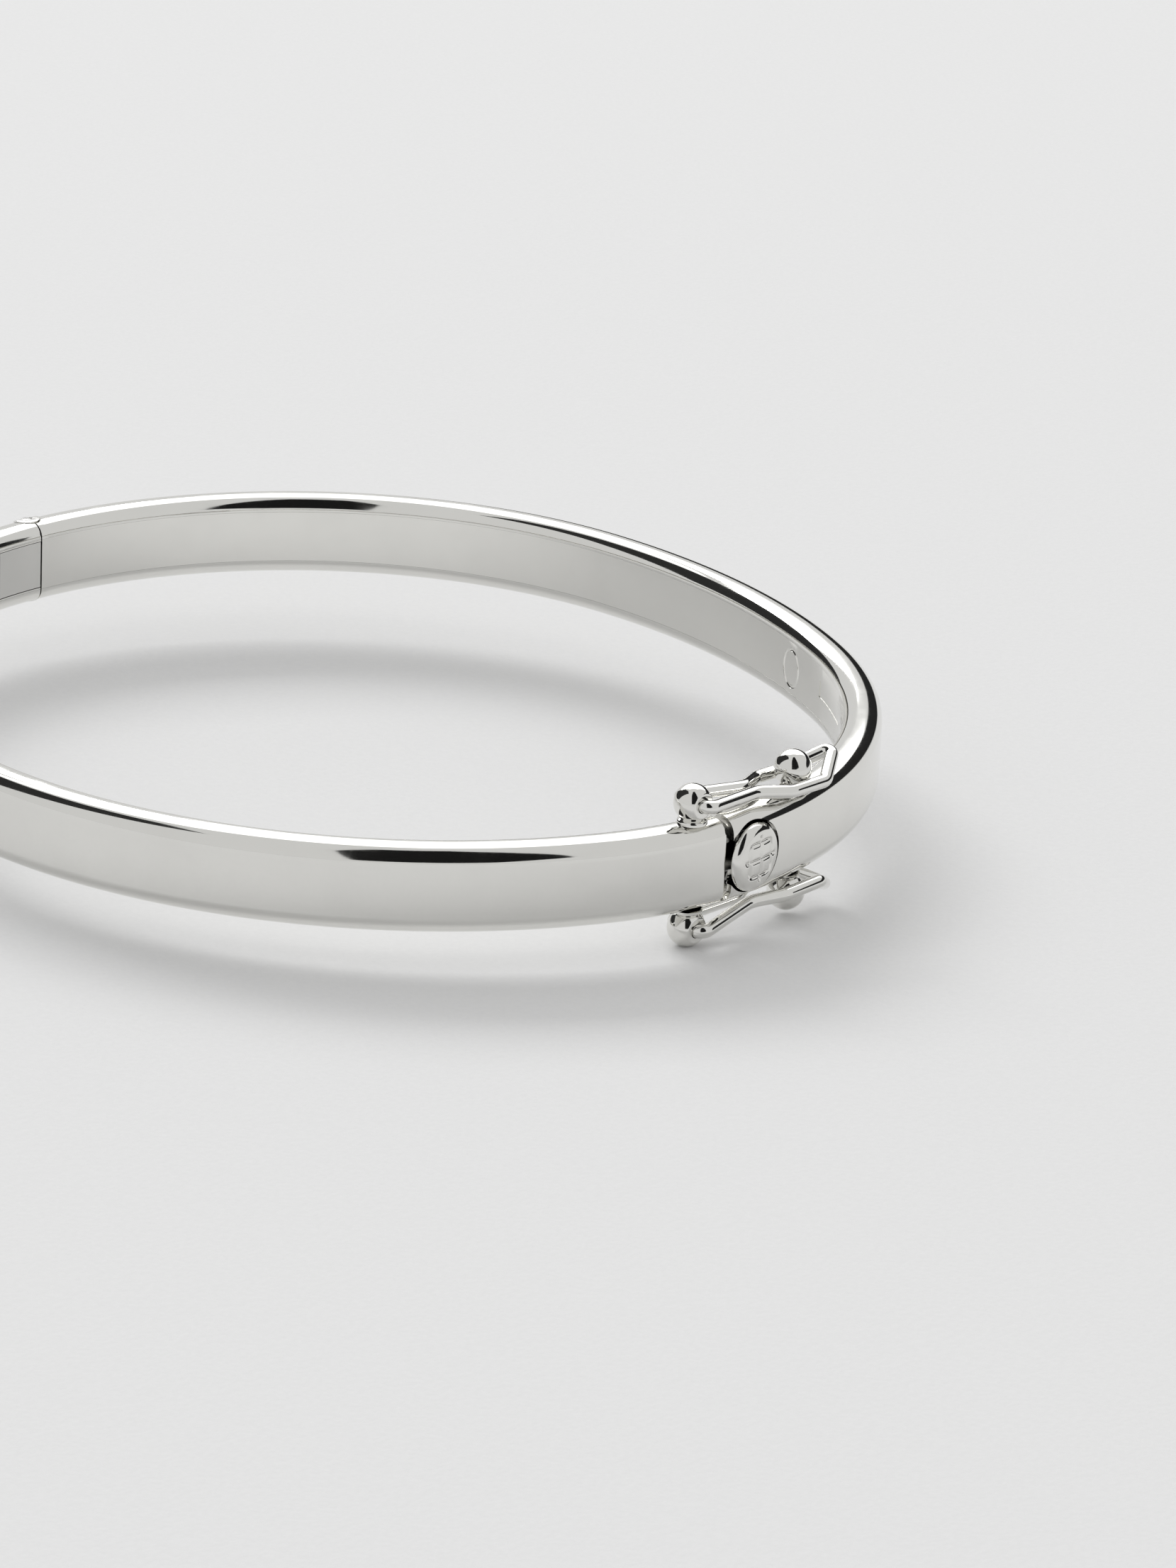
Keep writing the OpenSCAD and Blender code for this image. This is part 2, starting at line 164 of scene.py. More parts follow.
def edges_of(bm, verts):
    """Edges whose two ends are both among verts."""
    inside = set(verts)
    return [e for e in bm.edges if e.verts[0] in inside and e.verts[1] in inside]


def verts_in(geom):
    return [g for g in geom if isinstance(g, bmesh.types.BMVert)]


def outline(bm, points, closed=True):
    """Edges from point to point, and back to the first one where closed."""
    verts = [bm.verts.new(p) for p in points]
    ends = verts[1:] + verts[:1] if closed else verts[1:]
    for a, b in zip(verts, ends):
        bm.edges.new((a, b))
    return verts


def extrude_ring(bm, ring, move):
    """Draws a ring of edges out along a straight line and returns the ring at the end of it."""
    made = bmesh.ops.extrude_edge_only(bm, edges=edges_of(bm, ring))
    ring = verts_in(made["geom"])
    bmesh.ops.translate(bm, verts=ring, vec=move)
    return ring


def spin_ring(bm, ring, centre, axis, angle, steps):
    """Draws a ring of edges round an axis and returns the ring at the end of it."""
    made = bmesh.ops.spin(
        bm, geom=ring + edges_of(bm, ring), cent=centre, axis=axis, angle=angle, steps=steps
    )
    return verts_in(made["geom_last"])


def turn_full(bm, axis, steps):
    """Turns everything in the mesh once round an axis through the origin."""
    bmesh.ops.spin(
        bm, geom=bm.verts[:] + bm.edges[:], cent=(0, 0, 0), axis=axis,
        angle=2 * pi, steps=steps, use_merge=True,
    )
    bmesh.ops.remove_doubles(bm, verts=bm.verts, dist=WELD)
    bmesh.ops.recalc_face_normals(bm, faces=bm.faces)


def round_corners(bm, verts, radius, segments):
    bmesh.ops.bevel(
        bm, geom=verts, offset=radius, offset_type="OFFSET", affect="VERTICES",
        segments=segments, profile=0.5, material=-1, clamp_overlap=False,
    )


def round_edges(bm, edges, radius, segments):
    bmesh.ops.bevel(
        bm, geom=edges, offset=radius, offset_type="OFFSET", affect="EDGES",
        segments=segments, profile=0.5, material=-1, clamp_overlap=True,
    )


def soften(bm, radius, segments=3, angle=30):
    """Rounds every edge that turns by more than an angle in degrees."""
    sharp = [e for e in bm.edges if e.is_manifold and e.calc_face_angle() > radians(angle)]
    round_edges(bm, sharp, radius, segments)


def close_up(bm):
    """Fills the open loops and turns every face outwards."""
    bmesh.ops.remove_doubles(bm, verts=bm.verts, dist=WELD)
    open_edges = [e for e in bm.edges if e.is_boundary]
    if open_edges:
        bmesh.ops.holes_fill(bm, edges=open_edges, sides=0)
    bmesh.ops.recalc_face_normals(bm, faces=bm.faces)


def to_object(bm, name):
    mesh = bpy.data.meshes.new(name)
    bm.to_mesh(mesh)
    bm.free()
    piece = bpy.data.objects.new(name, mesh)
    bpy.context.scene.collection.objects.link(piece)
    return piece


def combine(piece, tool, operation):
    """Cuts a tool out of a piece or joins it to the piece; the tool is used up."""
    modifier = piece.modifiers.new("Combine", "BOOLEAN")
    modifier.operation = operation
    modifier.solver = "MANIFOLD"
    modifier.object = tool
    ready = piece.evaluated_get(bpy.context.evaluated_depsgraph_get())
    mesh = bpy.data.meshes.new_from_object(ready)
    mesh.name = piece.name
    piece.modifiers.clear()
    piece.data = mesh
    bpy.data.objects.remove(tool)


def put_on(piece, material, body, slot, *nodes, crease=35):
    """Last steps of every piece: finish, shading, body and the CAD nodes that it stands for."""
    mesh = piece.data
    mesh.materials.clear()
    mesh.materials.append(material)
    mesh.shade_smooth()
    mesh.set_sharp_from_angle(angle=radians(crease))
    weighted = piece.modifiers.new("Weighted normals", "WEIGHTED_NORMAL")
    weighted.keep_sharp = True
    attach(piece, body)
    if nodes:
        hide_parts(*nodes)


def box_tool(name, low, high):
    bm = bmesh.new()
    middle = (Vector(low) + Vector(high)) / 2
    size = Vector(high) - Vector(low)
    matrix = Matrix.Translation(middle) @ Matrix.Diagonal((*size, 1))
    bmesh.ops.create_cube(bm, size=1, matrix=matrix)
    return to_object(bm, name)


def rod_tool(name, matrix, radius, depth, segments=96):
    bm = bmesh.new()
    bmesh.ops.create_cone(
        bm, cap_ends=True, segments=segments,
        radius1=radius, radius2=radius, depth=depth, matrix=matrix,
    )
    return to_object(bm, name)


def dressed(node, name, radius):
    """Copy of a CAD node, with its flat faces merged and its edges softened."""
    flat = radians(0.5)
    bm = bmesh.new()
    bm.from_mesh(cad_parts[node].data)
    bmesh.ops.remove_doubles(bm, verts=bm.verts, dist=0.001 * MM)
    bmesh.ops.dissolve_limit(bm, angle_limit=flat, verts=bm.verts, edges=bm.edges)
    soften(bm, radius, segments=2)
    bmesh.ops.triangulate(bm, faces=[f for f in bm.faces if len(f.verts) > 4])
    return to_object(bm, name)


# ---------------------------------------------------------------- the band


def half_oval(band, clasp_r, side_r):
    """The three arcs of a half oval as (centre, angle from, angle to)."""
    half = band.half_length
    clasp = Vector((half - clasp_r, 0))
    hinge = Vector((band.hinge_end_r - half, 0))
    span = clasp.x - hinge.x
    reach = ((side_r - clasp_r) ** 2 + span**2 - (side_r - band.hinge_end_r) ** 2) / (2 * span)
    side = Vector((clasp.x - reach, -sqrt((side_r - clasp_r) ** 2 - reach**2)))
    clasp_turn = atan2(clasp.y - side.y, clasp.x - side.x)
    hinge_turn = atan2(hinge.y - side.y, hinge.x - side.x)
    return [(clasp, 0, clasp_turn), (side, clasp_turn, hinge_turn), (hinge, hinge_turn, pi)]


def sweep_half(bm, ring, band, arcs, run_on=1 * MM):
    """Sweeps a ring, which stands at the clasp, along the arcs and straight on past both ends."""
    bmesh.ops.translate(bm, verts=ring, vec=(0, -run_on, 0))
    ring = extrude_ring(bm, ring, Vector((0, run_on, 0)))
    for centre, start, end in arcs:
        steps = max(2, round((end - start) / band.step_angle))
        ring = spin_ring(bm, ring, (*centre, 0), (0, 0, 1), end - start, steps)
    extrude_ring(bm, ring, Vector((0, -run_on, 0)))


def cut_end(bm, side, at, reach=3 * MM):
    """Cuts off what lies below y = at, at the clasp (side 1) or at the hinge (side -1)."""
    near = {v for v in bm.verts if v.co.x * side > 0 and v.co.y < reach}
    geom = list(near)
    geom += [e for e in bm.edges if all(v in near for v in e.verts)]
    geom += [f for f in bm.faces if all(v in near for v in f.verts)]
    bmesh.ops.bisect_plane(
        bm, geom=geom, dist=WELD, plane_co=(0, at, 0), plane_no=(0, -1, 0), clear_outer=True
    )


def back_arcs(band):
    return half_oval(band, band.back_clasp_r, band.back_side_r)


def front_arcs(band):
    return half_oval(band, band.front_clasp_r, band.front_side_r)


def half_band(name, points, corners, band, front):
    """One swept half; points is its section, and a corner is (numbers of points, radius, segments).

    The front half is made on the back half's side too, and is mirrored at the end.
    """
    bm = bmesh.new()
    half = band.half_length
    verts = outline(bm, [(half + x, 0, z) for x, z in points])
    for numbers, radius, segments in corners:
        round_corners(bm, [verts[n] for n in numbers], radius, segments)
    sweep_half(bm, list(bm.verts), band, front_arcs(band) if front else back_arcs(band))
    if front:
        cut_end(bm, 1, -(band.slit_y - band.slit_w / 2))
        cut_end(bm, -1, -PIN.y + band.hinge_gap)
    else:
        cut_end(bm, 1, band.slit_y + band.slit_w / 2)
        cut_end(bm, -1, PIN.y + band.hinge_gap)
    close_up(bm)
    ends = [f for f in bm.faces if len(f.verts) > 8]
    rim = {e for f in ends for e in f.edges}
    round_edges(bm, list(rim), 0.05 * MM, segments=3)
    if front:
        bmesh.ops.scale(bm, verts=bm.verts, vec=(1, -1, 1))
        bmesh.ops.reverse_faces(bm, faces=bm.faces)
    return to_object(bm, name)


def half_shell(name, band, front):
    """Sheet of one half: the outer face, both edges and the lips that the inner face lies between."""
    w, t, wall = band.width / 2, band.thickness, band.wall
    mouth = w - band.edge_r
    whole = 0.98  # a full rounding would leave the edge of the mouth no length
    points = [
        (0, mouth), (0, w), (t, w), (t, -w), (0, -w), (0, -mouth), (wall, -mouth),
        (wall, wall - w), (t - wall, wall - w), (t - wall, w - wall), (wall, w - wall), (wall, mouth),
    ]
    corners = [
        ((1, 4), whole * band.edge_r, 14),
        ((2, 3), band.shoulder_r, 16),
        ((7, 10), whole * (band.edge_r - wall), 6),
        ((8, 9), band.shoulder_r - wall, 6),
    ]
    return half_band(name, points, corners, band, front)


def half_liner(name, band, front):
    """Inner face strip of one half, with a fine seam to the lips of the shell."""
    seam = 0.004 * MM
    edge_r = 0.012 * MM
    reach = band.width / 2 - band.edge_r - seam
    points = [(0, reach), (band.wall, reach), (band.wall, -reach), (0, -reach)]
    return half_band(name, points, [((0, 3), edge_r, 2)], band, front)


def button_notch(band, clasp):
    """Tool for the round notch that the button lies in."""
    depth = 0.85 * MM
    gap = 0.14 * MM
    low = band.half_length + band.thickness - depth
    middle = clasp.button_y + clasp.button_rise * sin(clasp.button_slope)
    spot = Matrix.Translation((low + band.thickness / 2, middle, 0))
    upright = Matrix.Rotation(pi / 2, 4, "Y")
    return rod_tool("notch", spot @ upright, clasp.button_r + gap, band.thickness, 128)


def hinge_room():
    """Tool for the round space that the knuckles turn in."""
    radius = 0.9 * MM
    length = 12 * MM
    return rod_tool("hinge_room", Matrix.Translation(PIN), radius, length)


def pad_window(band):
    """Tool for the window of the front inner face that the hinge pad lies in."""
    gap = 0.04 * MM
    half = 1.45 * MM + gap
    low = (-band.half_length - 2 * band.wall, PIN.y - 3.4 * MM - gap, -half)
    high = (-band.half_length + band.wall, PIN.y + 1 * MM, half)
    return box_tool("pad_window", low, high)


def oval_stamp(band):
    """Tool for a shallow oval line in the back half's inner face."""
    line_r = 0.11 * MM
    ring_r = 0.95 * MM
    lift = 0.05 * MM
    longer = 1.2
    place_angle = radians(71)
    centre = back_arcs(band)[1][0]
    bm = bmesh.new()
    bmesh.ops.create_circle(bm, segments=16, radius=line_r, matrix=Matrix.Translation((0, ring_r, 0)))
    turn_full(bm, (1, 0, 0), 72)
    out = Matrix.Translation((band.back_side_r - lift, 0, 0)) @ Matrix.Diagonal((1, 1, longer, 1))
    bm.transform(Matrix.Translation((*centre, 0)) @ Matrix.Rotation(place_angle, 4, "Z") @ out)
    return to_object(bm, "oval_stamp")


def bar_stamp(band):
    """Tool for a shallow plain bar in the back half's inner face."""
    place_angle = radians(52.5)
    sweep = radians(11)
    half = 0.5 * MM
    low = band.back_clasp_r - 0.1 * MM
    high = band.back_clasp_r + 0.035 * MM
    centre = back_arcs(band)[0][0]
    bm = bmesh.new()
    ring = outline(bm, [(low, 0, -half), (high, 0, -half), (high, 0, half), (low, 0, half)])
    spin_ring(bm, ring, (0, 0, 0), (0, 0, 1), sweep, 24)
    close_up(bm)
    bm.transform(Matrix.Translation((*centre, 0.25 * MM)) @ Matrix.Rotation(place_angle, 4, "Z"))
    return to_object(bm, "bar_stamp")


class BANGLE_OT_band(bpy.types.Operator):
    """Outer shells and inner faces of the two halves"""

    bl_idname = "bangle.band"
    bl_label = "Band"

    def execute(self, context):
        band, clasp, finish, _ = settings(context)
        back = half_shell("back_band", band, False)
        combine(back, hinge_room(), "DIFFERENCE")
        combine(back, button_notch(band, clasp), "DIFFERENCE")
        front = half_shell("front_band", band, True)
        combine(front, hinge_room(), "DIFFERENCE")
        polished = polished_silver(finish)
        put_on(back, polished, "back_half", "polished_silver", "back_outer_shell")
        put_on(front, polished, "front_half", "polished_silver", "front_outer_shell")

        back_face = half_liner("back_inner_face", band, False)
        front_face = half_liner("front_inner_face", band, True)
        combine(front_face, pad_window(band), "DIFFERENCE")
        combine(back_face, oval_stamp(band), "DIFFERENCE")
        combine(back_face, bar_stamp(band), "DIFFERENCE")
        # Inner faces: a rougher, more worn finish, with a lighter tint that is painted highlight.
        worn_lightened_finish = inner_silver(finish)
        put_on(back_face, worn_lightened_finish, "back_half", "inner_silver", "back_inner_liner")
        put_on(front_face, worn_lightened_finish, "front_half", "inner_silver", "front_inner_liner")
        return {"FINISHED"}


# ---------------------------------------------------------------- hinge and tongue


class BANGLE_OT_hinge(bpy.types.Operator):
    """Hinge leaves with their knuckles, and the pin"""

    bl_idname = "bangle.hinge"
    bl_label = "Hinge"

    def execute(self, context):
        finish = settings(context)[2]
        metal = clasp_silver(finish)
        rows = [
            ("back_hinge_leaf", "back_hinge_knuckles", "back_half", 0.05 * MM),
            ("front_hinge_leaf", "front_hinge_knuckle", "front_half", 0.03 * MM),
            ("hinge_pin", "hinge_rivet", "back_half", 0.05 * MM),
        ]
        for node, name, body, edge_r in rows:
            piece = dressed(node, name, edge_r)
            put_on(piece, metal, body, "clasp_silver", node)
        return {"FINISHED"}


class BANGLE_OT_tongue(bpy.types.Operator):
    """Plates, bar, tongue leaves and stem inside the clasp"""

    bl_idname = "bangle.tongue"
    bl_label = "Tongue"

    def execute(self, context):
        finish = settings(context)[2]
        metal = clasp_silver(finish)
        edge_r = 0.03 * MM
        rows = [
            ("back_throat_plate", "throat_plate", "back_half"),
            ("back_strike_bar", "strike_bar", "back_half"),
            ("front_end_plate", "end_plate", "front_half"),
            ("tongue_base_leaf", "tongue_base", "front_half"),
            ("tongue_spring_leaf", "tongue_spring", "latch"),
            ("button_stem", "stem_post", "latch"),
        ]
        for node, name, body in rows:
            piece = dressed(node, name, edge_r)
            put_on(piece, metal, body, "clasp_silver", node)
        return {"FINISHED"}


def button_frame(band, clasp):
    """Button's own frame: its centre lies on the leaf, and its Z axis points outwards."""
    fold = Matrix.Translation((band.half_length + clasp.fold_out, clasp.fold_y, 0))
    leaf = Matrix.Rotation(clasp.leaf_slope, 4, "Z")
    arm = Matrix.Translation((0, clasp.button_y - clasp.fold_y, 0))
    lean = Matrix.Rotation(clasp.button_slope - clasp.leaf_slope, 4, "Z")
    return fold @ leaf @ arm @ lean @ Matrix.Rotation(pi / 2, 4, "Y")


def grip_dip(x, y, pitch, field_r, line_w):
    """How far a point lies in the crossed grooves, 0 to 1."""
    radius = sqrt(x * x + y * y)
    fade = min(1, max(0, (field_r - radius) / line_w))
    distances = [abs(v - round(v / pitch) * pitch) for v in (x, y)]
    return fade * max(exp(-((d / (line_w / 2)) ** 2)) for d in distances)


class BANGLE_OT_button(bpy.types.Operator):
    """Thumb button: a low dome with a plain grip of crossed grooves"""

    bl_idname = "bangle.button"
    bl_label = "Thumb button"

    low: length_prop("Underside", "Height of the underside over the leaf", 0.75 * MM)
    rim: length_prop("Rim", "Height of the rim", 0.45 * MM)
    dome: length_prop("Dome", "Rise of the dome over the rim", 0.25 * MM)
    rim_r: length_prop("Rim rounding", "Rounding of the rim", 0.4 * MM)
    field_r: length_prop("Grip field", "Radius of the grooved field", 1.4 * MM)
    line_w: length_prop("Groove width", "Width of a groove", 0.22 * MM)
    foot_r: length_prop("Underside rounding", "Rounding of the underside's edge", 0.04 * MM)
    domed: share_prop("Domed part", "Share of the rim's height that keeps out of the dome", 0.3)

    def execute(self, context):
        band, clasp, finish, _ = settings(context)
        bm = bmesh.new()
        top = self.low + self.rim
        points = [(0, 0, top), (clasp.button_r, 0, top), (clasp.button_r, 0, self.low), (0, 0, self.low)]
        crown, corner, foot, _ = outline(bm, points, closed=False)
        round_corners(bm, [corner], self.rim_r, 10)
        round_corners(bm, [foot], self.foot_r, 3)
        dome_edge = next(e for e in bm.edges if crown in e.verts)
        bmesh.ops.subdivide_edges(bm, edges=[dome_edge], cuts=71)
        turn_full(bm, (0, 0, 1), 192)
        for v in bm.verts:
            share = (v.co.z - self.low) / self.rim
            if share > self.domed:
                radius = v.co.xy.length / clasp.button_r
                dip = grip_dip(v.co.x, v.co.y, clasp.groove_pitch, self.field_r, self.line_w)
                v.co.z += self.dome * (1 - radius**2) - clasp.groove_depth * dip
        bm.transform(button_frame(band, clasp))
        button = to_object(bm, "thumb_press")
        put_on(button, polished_silver(finish), "latch", "polished_silver", "thumb_button", crease=50)
        return {"FINISHED"}


# ---------------------------------------------------------------- balls and catches


def mirrored(level):
    """Leaves a top piece where it is, or mirrors it to the lower edge of the band."""
    return Matrix.Diagonal((1, 1, level, 1))


def turned_foot(name, radius, neck_r, height, flare):
    """Round foot with a flared base, standing on the band's edge at the origin."""
    bm = bmesh.new()
    section = [(0, 0), (radius, 0), (radius, flare), (neck_r, 2 * flare), (neck_r, height), (0, height)]
    verts = outline(bm, [(x, 0, z) for x, z in section], closed=False)
    round_corners(bm, [verts[2]], 0.5 * flare, 4)
    round_corners(bm, [verts[3]], 0.6 * flare, 4)
    turn_full(bm, (0, 0, 1), 64)
    return to_object(bm, name)


def on_edge(band, low, high):
    """Spot on the band's upper edge, above the middle of a box."""
    return Matrix.Translation(((low.x + high.x) / 2, (low.y + high.y) / 2, band.width / 2))


def place(piece, matrix):
    """Moves a piece's mesh, and keeps its faces outwards where the move mirrors it."""
    piece.data.transform(matrix)
    if matrix.determinant() < 0:
        piece.data.flip_normals()


def stud_ball(name, clasp, ball_r):
    bm = bmesh.new()
    lift = Matrix.Translation((0, 0, clasp.ball_rise))
    bmesh.ops.create_uvsphere(bm, u_segments=64, v_segments=40, radius=ball_r, matrix=lift)
    ball = to_object(bm, name)
    foot = turned_foot(
        name + "_foot", radius=0.72 * MM, neck_r=0.55 * MM, height=clasp.ball_rise, flare=0.12 * MM
    )
    combine(ball, foot, "UNION")
    return ball


def pivot_ball(name, clasp, ball_r):
    """Ball with a flat, softened lip at each end of its bore, which lies along X."""
    bm = bmesh.new()
    half = clasp.bore_half
    bore_r = clasp.wire_r + 0.02 * MM
    lip_r = sqrt(ball_r**2 - half**2)
    start = bm.verts.new((half, lip_r, 0))
    sweep = 2 * asin(half / ball_r)
    arc = bmesh.ops.spin(bm, geom=[start], cent=(0, 0, 0), axis=(0, 0, 1), angle=sweep, steps=28)
    end = verts_in(arc["geom_last"])[0]
    bore = [bm.verts.new((side * half, bore_r, 0)) for side in (-1, 1)]
    for a, b in ((end, bore[0]), (bore[0], bore[1]), (bore[1], start)):
        bm.edges.new((a, b))
    turn_full(bm, (1, 0, 0), 64)
    soften(bm, 0.04 * MM)
    bmesh.ops.translate(bm, verts=bm.verts, vec=(0, 0, clasp.ball_rise))
    ball = to_object(bm, name)
    foot = turned_foot(
        name + "_foot", radius=0.85 * MM, neck_r=0.62 * MM, height=0.52 * MM, flare=0.16 * MM
    )
    combine(ball, foot, "UNION")
    return ball


def catch_turn():
    """Turn of the catch's line from pivot to stud, away from the Y axis."""
    return atan2(PIVOT.x - STUD.x, STUD.y - PIVOT.y)


class BANGLE_OT_balls(bpy.types.Operator):
    """Stud balls on the back half and drilled pivot balls on the front half"""

    bl_idname = "bangle.balls"
    bl_label = "Balls"

    def execute(self, context):
        band, clasp, finish, _ = settings(context)
        metal = polished_silver(finish)
        ball_r = (STUD_HIGH.x - STUD_LOW.x) / 2
        turn = Matrix.Rotation(catch_turn(), 4, "Z")
        for level, word in ((1, "top"), (-1, "bottom")):
            stud_low, stud_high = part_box(word + "_stud_ball")
            stud = stud_ball(word + "_stud", clasp, ball_r)
            place(stud, mirrored(level) @ on_edge(band, stud_low, stud_high))
            put_on(stud, metal, "back_half", "polished_silver", word + "_stud_ball")
            pivot_low, pivot_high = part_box(word + "_pivot_ball")
            pivot = pivot_ball(word + "_pivot", clasp, ball_r)
            place(pivot, mirrored(level) @ on_edge(band, pivot_low, pivot_high) @ turn)
            put_on(pivot, metal, "front_half", "polished_silver", word + "_pivot_ball")
        return {"FINISHED"}


def catch_corners(clasp):
    """Corners of the catch wire with their bend radii.

    A corner's place is along the catch, to the side and up, from the pivot.
    """
    elbow = 0.45 * MM
    strand = clasp.bore_half - 0.02 * MM + elbow
    side = [
        (Vector((0, strand, 0)), elbow),
        (Vector((4.6, 0.48, -0.42)) * MM, 1.6 * MM),
        (Vector((6.5, 1.34, -0.6)) * MM, 1.2 * MM),
        (Vector((9.3, 1.34, -0.66)) * MM, 0.7 * MM),
    ]
    tip = [(Vector((11.4, 0, 0.46)) * MM, 0.42 * MM)]
    other = [(Vector((p.x, -p.y, p.z)), radius) for p, radius in reversed(side)]
    return side + tip + other


def bend_of(before, corner, after, radius):
    """Start, end, centre and axis of the bend at a corner, and its turn."""
    back, ahead = (before - corner).normalized(), (after - corner).normalized()
    turn = pi - back.angle(ahead)
    cut = radius * tan(turn / 2)
    start, end = corner + back * cut, corner + ahead * cut
    centre = corner + (back + ahead).normalized() * sqrt(cut**2 + radius**2)
    return start, end, centre, (start - centre).cross(end - centre).normalized(), turn


def wire_loop(name, corners, radius, segments=28, step=radians(5)):
    """Closed loop of round wire: straight between corners, with a bend at each."""
    count = len(corners)
    points = [p for p, _ in corners]
    bends = [
        bend_of(points[i - 1], points[i], points[(i + 1) % count], corners[i][1])
        for i in range(count)
    ]
    bm = bmesh.new()
    first, second = bends[-1][1], bends[0][0]
    look = (second - first).to_track_quat("Z", "Y").to_matrix().to_4x4()
    ring = bmesh.ops.create_circle(
        bm, segments=segments, radius=radius, matrix=Matrix.Translation(first) @ look
    )["verts"]
    at = first
    for start, end, centre, axis, turn in bends:
        ring = extrude_ring(bm, ring, start - at)
        ring = spin_ring(bm, ring, centre, axis, turn, max(3, round(turn / step)))
        at = end
    bmesh.ops.remove_doubles(bm, verts=bm.verts, dist=0.02 * MM)
    bmesh.ops.recalc_face_normals(bm, faces=bm.faces)
    return to_object(bm, name)


class BANGLE_OT_catches(bpy.types.Operator):
    """Figure-eight safety catches of polished wire"""

    bl_idname = "bangle.catches"
    bl_label = "Catches"

    def execute(self, context):
        band, clasp, finish, _ = settings(context)
        metal = wire_silver(finish)
        height = band.width / 2 + clasp.ball_rise
        along = Matrix.Rotation(catch_turn() + pi / 2, 4, "Z")
        at = Matrix.Translation((PIVOT.x, PIVOT.y, height)) @ along
        for level, word in ((1, "top"), (-1, "bottom")):
            wire = wire_loop(word + "_catch", catch_corners(clasp), clasp.wire_r)
            place(wire, mirrored(level) @ at)
            put_on(wire, metal, word + "_catch", "wire_silver", word + "_catch_wire")
        return {"FINISHED"}


# ---------------------------------------------------------------- finishes


class Value:
    """A number socket that Python's own signs work on."""

    def __init__(self, tree, socket):
        self.tree = tree
        self.socket = socket

    def math(self, operation, other):
        node = self.tree.nodes.new("ShaderNodeMath")
        node.operation = operation
        for slot, value in zip(node.inputs, (self, other)):
            if isinstance(value, Value):
                self.tree.links.new(value.socket, slot)
            else:
                slot.default_value = value
        return Value(self.tree, node.outputs[0])

    def __add__(self, other):
        return self.math("ADD", other)

    def __mul__(self, other):
        return self.math("MULTIPLY", other)

    __radd__ = __add__
    __rmul__ = __mul__


class Finish:
    """Node tree of one material or world."""

    def __init__(self, owner):
        owner.use_nodes = True
        self.tree = owner.node_tree
        self.tree.nodes.clear()

    def node(self, kind, setup=None, **sockets):
        node = self.tree.nodes.new(kind)
        for key, value in (setup or {}).items():
            setattr(node, key, value)
        for key, value in sockets.items():
            slot = node.inputs[key.replace("_", " ")]
            if isinstance(value, Value):
                self.tree.links.new(value.socket, slot)
            elif isinstance(value, bpy.types.NodeSocket):
                self.tree.links.new(value, slot)
            else:
                slot.default_value = value
        return node

    def value(self, kind, output, setup=None, **sockets):
        return Value(self.tree, self.node(kind, setup, **sockets).outputs[output])

    def place(self, turn, scale):
        """Place on the piece, turned and then stretched along its own axes."""
        spot = self.node("ShaderNodeTexCoord").outputs["Object"]
        return self.node("ShaderNodeMapping", Vector=spot, Rotation=turn, Scale=scale).outputs["Vector"]

    def noise(self, size, detail=2, turn=(0, 0, 0), stretch=(1, 1, 1), rough=0.5):
        """Noise whose features are about a given size."""
        return self.value(
            "ShaderNodeTexNoise", "Fac",
            Vector=self.place(turn, stretch), Scale=1 / size, Detail=detail, Roughness=rough,
        )

    def ramp(self, value, low, high):
        """Value taken from low..high to 0..1, with soft ends."""
        return self.value(
            "ShaderNodeMapRange", "Result", {"interpolation_type": "SMOOTHSTEP"},
            Value=value, From_Min=low, From_Max=high,
        )

    def mix(self, share, first, second):
        """Colour between two plain colours."""
        node = self.node("ShaderNodeMix", {"data_type": "RGBA"})
        factor, first_slot, second_slot = (node.inputs[number] for number in (0, 6, 7))
        self.tree.links.new(share.socket, factor)
        first_slot.default_value = (*first, 1)
        second_slot.default_value = (*second, 1)
        return node.outputs[2]

    def bump(self, height, distance, before=None):
        """Normal from a height, laid over another normal where there is one."""
        sockets = {"Height": height, "Distance": distance, "Strength": 1.0}
        if before is not None:
            sockets["Normal"] = before
        return self.node("ShaderNodeBump", None, **sockets).outputs["Normal"]

    def output(self, shader, kind="ShaderNodeOutputMaterial"):
        self.tree.links.new(shader.outputs[0], self.node(kind).inputs["Surface"])


def scratches(finish, width, turn):
    """Fine lines that run one way, 0 to 1."""
    lines = finish.noise(width, 1, turn, stretch=(1, 0.03, 0.03))
    return finish.ramp(lines, 0.72, 0.8)


def silver(name, tint, roughness, wear, ripple):
    """Polished silver: faint clouds, smudges, hairline scratches and the ripple of hand polishing."""
    found = bpy.data.materials.get(name)
    if found:
        return found
    material = bpy.data.materials.new(name)
    finish = Finish(material)
    clouds = finish.noise(7 * MM, 3)
    smudges = finish.ramp(finish.noise(2.5 * MM, 4, rough=0.6), 0.45, 0.75)
    one_way = scratches(finish, 0.03 * MM, (0.5, 0.7, 0.6))
    other_way = scratches(finish, 0.035 * MM, (-0.6, 0.9, 1.9))
    hairlines = one_way + other_way
    darker = tuple(0.955 * c for c in tint)
    base = finish.mix(finish.ramp(clouds, 0.3, 0.7) * 0.7 + smudges * 0.3, tint, darker)
    rough = roughness + smudges * (0.5 * wear) + hairlines * (0.3 * wear)
    wave = finish.bump(finish.noise(3.2 * MM, 1), ripple)
    grain = finish.bump(finish.noise(0.22 * MM, 3), 0.03 * ripple, wave)
    normal = finish.bump(hairlines, 0.00005 * MM, grain)
    shader = finish.node(
        "ShaderNodeBsdfPrincipled", Base_Color=base, Metallic=1.0, Roughness=rough, Normal=normal
    )
    finish.output(shader)
    return material


def polished_silver(finish):
    tint = tuple(finish.silver)
    return silver("polished_finish", tint, finish.polish, wear=0.1, ripple=0.004 * MM)


